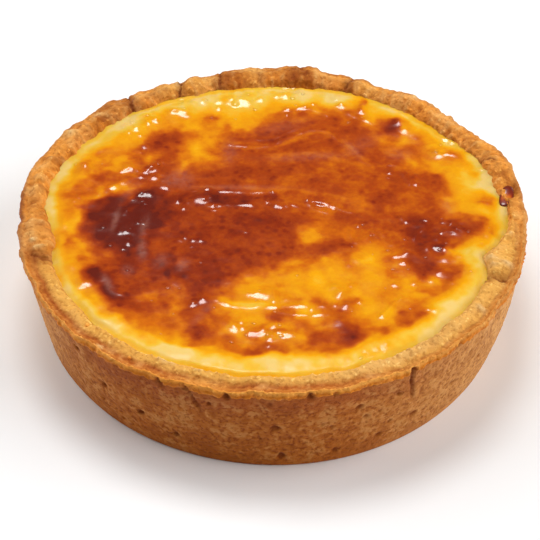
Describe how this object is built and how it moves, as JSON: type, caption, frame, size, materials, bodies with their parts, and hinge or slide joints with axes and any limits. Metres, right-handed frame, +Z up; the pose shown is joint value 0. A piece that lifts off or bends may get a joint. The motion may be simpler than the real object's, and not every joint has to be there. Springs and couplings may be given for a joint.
{
  "type": "custard tart",
  "caption": "Round baked custard tart: a tapered shortcrust case with a grooved, cracked rim, filled with custard under a browned, folded, glossy skin.",
  "frame": {"origin": "middle of the flat underside of the pastry case", "axes": "+Z up out of the custard, -Y towards the front shown in the picture, +X to its right"},
  "size_m": [0.1009, 0.1004, 0.023],
  "materials": {
    "pastry": "baked shortcrust pastry, matt and crumbly",
    "custard": "baked custard with a browned skin, glossy"
  },
  "bodies": {
    "root": {"pastry_case": "pastry", "custard": "custard"}
  },
  "joints": []
}
